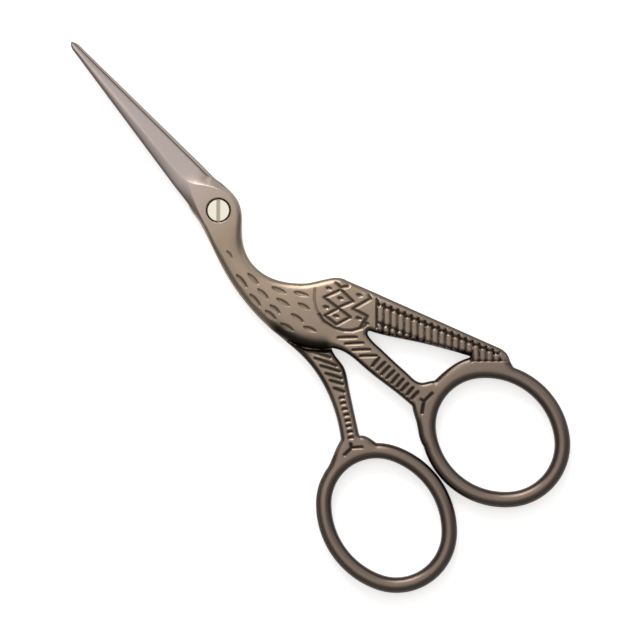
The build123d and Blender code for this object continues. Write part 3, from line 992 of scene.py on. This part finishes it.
def add_stage(settings):
    """White ground, lamps, surroundings and the camera at the photograph's view."""
    scene = bpy.context.scene
    bpy.ops.mesh.primitive_plane_add(size=GROUND_SIZE, location=(0, 0, -GROUND_GAP * MM))
    ground = bpy.context.object
    ground.name = "white_ground"
    ground.data.materials.append(white_paper(settings.paper_glow))

    x, y = place(*PHOTO_MIDDLE_PX)
    middle = Vector((x * MM, y * MM, 0))
    for lamp in LAMPS:
        add_lamp(settings, middle, *lamp)

    world = bpy.data.worlds.new("studio")
    world.use_nodes = True
    background = world.node_tree.nodes["Background"]
    background.inputs["Color"].default_value = linear("ffffff")
    background.inputs["Strength"].default_value = settings.room_brightness
    scene.world = world

    data = bpy.data.cameras.new("camera")
    data.sensor_width = SENSOR
    data.lens = SENSOR * CAMERA_DISTANCE / (PHOTO_SIDE_PX / PX_PER_MM * MM)
    data.clip_start = NEAREST_SEEN
    camera = bpy.data.objects.new("camera", data)
    camera.location = middle + Vector((0, 0, CAMERA_DISTANCE))
    camera.rotation_euler = (0, 0, PHOTO_TURN)
    scene.collection.objects.link(camera)
    scene.camera = camera
    scene.view_settings.view_transform = "Standard"


def length(name, description, millimetres):
    return FloatProperty(name=name, description=description, default=millimetres * MM, unit="LENGTH",
                         min=0.0, precision=5)


def colour(name, description, code):
    return FloatVectorProperty(name=name, description=description, default=linear(code), size=4,
                               min=0.0, max=1.0, subtype="COLOR")


def amount(name, description, value):
    return FloatProperty(name=name, description=description, default=value, min=0.0)


class ScissorsCarving(bpy.types.PropertyGroup):
    feather_width: length("Feather width", "Width of a feather's dent at its middle", 0.96)
    feather_depth: length("Feather depth", "Depth of a feather's dent", 0.30)
    line_width: length("Line width", "Width of the lines in the wing", 0.80)
    line_depth: length("Line depth", "Depth of the lines in the wing", 0.26)
    groove_width: length("Leg groove width", "Width of the grooves in the legs", 0.82)
    groove_depth: length("Leg groove depth", "Depth of the grooves in the legs", 0.28)
    rib_width: length("Rib width", "Width of a rib of the tail at its foot", 1.20)
    scale_width: length("Scale width", "Width of a scale of the tail at its foot", 1.20)
    comb_depth: length("Comb depth", "Depth of the tail between its ribs", 0.40)


class ScissorsForm(bpy.types.PropertyGroup):
    loop_wall: length("Loop wall", "Metal round a finger hole, seen from above", 2.75)
    dome_drop: length("Body crown", "How much lower the body lies at its edges than in its middle", 0.55)
    dome_width: length("Body crown width", "How far in from its edges the body is crowned", 5.0)
    belly_round: length("Belly rounding", "How much wider the belly's edge is rounded than the others", 1.1)
    fine_mesh: length("Fine mesh", "Spacing of the mesh in the carving", 0.15)
    coarse_mesh: length("Coarse mesh", "Spacing of the mesh on plain surfaces", 0.5)


class ScissorsFinish(bpy.types.PropertyGroup):
    blade_colour: colour("Blades", "Coating on the blades", "bcb0ac")
    body_colour: colour("Body", "Coating on neck and body", "a39382")
    loop_colour: colour("Loops", "Coating on the finger loops", "7f7168")
    # Dark coating in the carving, partly painted shade, and painted shade on the sides, round the screw and
    # between the halves
    carving_and_shade_colour: colour("Recesses", "Coating in the carving and on the sides", "17120f")
    screw_colour: colour("Screw", "Polished steel of the screw", "e8e4d8")
    slot_colour: colour("Slot", "Sawn steel in the screw's slot", "b9b4a6")
    roughness: amount("Roughness", "Roughness of the satin coating", 0.33)


class ScissorsStage(bpy.types.PropertyGroup):
    key_brightness: amount("Key lamp", "Brightness of the key lamp's face", 5.6)
    above_brightness: amount("Lamp above", "Brightness of the face of the lamp above", 0.88)
    right_brightness: amount("Lamp on the right", "Brightness of the face of the lamp on the right", 0.66)
    room_brightness: amount("Room", "Brightness of the surroundings", 0.2)
    paper_glow: amount("Paper glow", "Light that the camera sees added to the paper", 0.6)


class SCISSORS_OT_front_half(bpy.types.Operator):
    """Carve the upper half: blade, neck, body with the wing, tail, right leg and right finger loop"""
    bl_idname = "scissors.front_half"
    bl_label = "Front half"

    def execute(self, context):
        forged_half("front_half_forging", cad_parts["front_half"], "front", True)
        return {"FINISHED"}


class SCISSORS_OT_rear_half(bpy.types.Operator):
    """Carve the lower half: blade, neck, thigh, left leg and left finger loop"""
    bl_idname = "scissors.rear_half"
    bl_label = "Rear half"

    def execute(self, context):
        forged_half("rear_half_forging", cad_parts["rear_half"], "rear", False)
        return {"FINISHED"}


# The slot's floor is what looks up, by the rise of its normal, from deeper than SLOT_LEAST in the head
LEVEL = 0.9
SLOT_LEAST = 0.1


class SCISSORS_OT_pivot_screw(bpy.types.Operator):
    """Give the slotted pivot screw its polish, and its slot a duller floor"""
    bl_idname = "scissors.pivot_screw"
    bl_label = "Pivot screw"

    def execute(self, context):
        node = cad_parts["pivot_screw"]
        finish = context.scene.scissors_finish
        mesh = node.data.copy()
        mesh.materials.clear()
        mesh.materials.append(polished_steel(finish))
        mesh.materials.append(sawn_steel(finish))
        top = max(vertex.co.z for vertex in mesh.vertices)
        for face in mesh.polygons:
            if face.normal.z > LEVEL and face.center.z < top - SLOT_LEAST * MM:
                face.material_index = 1
        screw = bpy.data.objects.new("slotted_pivot_screw", mesh)
        context.scene.collection.objects.link(screw)
        screw.matrix_world = node.matrix_world.copy()
        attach(screw, "rear")
        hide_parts(node.name)
        return {"FINISHED"}


class SCISSORS_OT_stage(bpy.types.Operator):
    """Set the white ground, the lamps and the camera"""
    bl_idname = "scissors.stage"
    bl_label = "Stage"

    def execute(self, context):
        add_stage(context.scene.scissors_stage)
        return {"FINISHED"}


class SCISSORS_PT_panel(bpy.types.Panel):
    """Sizes, colours and pieces of the scissors"""
    bl_label = "Stork scissors"
    bl_space_type = "VIEW_3D"
    bl_region_type = "UI"
    bl_category = "Scissors"

    def draw(self, context):
        for name in GROUPS:
            group = getattr(context.scene, name)
            box = self.layout.box()
            for key in group.__annotations__:
                box.prop(group, key)
        for operator in OPERATORS:
            self.layout.operator(operator.bl_idname)


GROUPS = {
    "scissors_carving": ScissorsCarving,
    "scissors_form": ScissorsForm,
    "scissors_finish": ScissorsFinish,
    "scissors_stage": ScissorsStage,
}
OPERATORS = (SCISSORS_OT_front_half, SCISSORS_OT_rear_half, SCISSORS_OT_pivot_screw, SCISSORS_OT_stage)


def register():
    for name, group in GROUPS.items():
        bpy.utils.register_class(group)
        setattr(bpy.types.Scene, name, PointerProperty(type=group))
    for operator in OPERATORS:
        bpy.utils.register_class(operator)
    bpy.utils.register_class(SCISSORS_PT_panel)


def unregister():
    bpy.utils.unregister_class(SCISSORS_PT_panel)
    for operator in reversed(OPERATORS):
        bpy.utils.unregister_class(operator)
    for name, group in GROUPS.items():
        delattr(bpy.types.Scene, name)
        bpy.utils.unregister_class(group)


def main():
    register()
    bpy.ops.scissors.front_half()
    bpy.ops.scissors.rear_half()
    bpy.ops.scissors.pivot_screw()
    bpy.ops.scissors.stage()


if __name__ == "__main__":
    main()
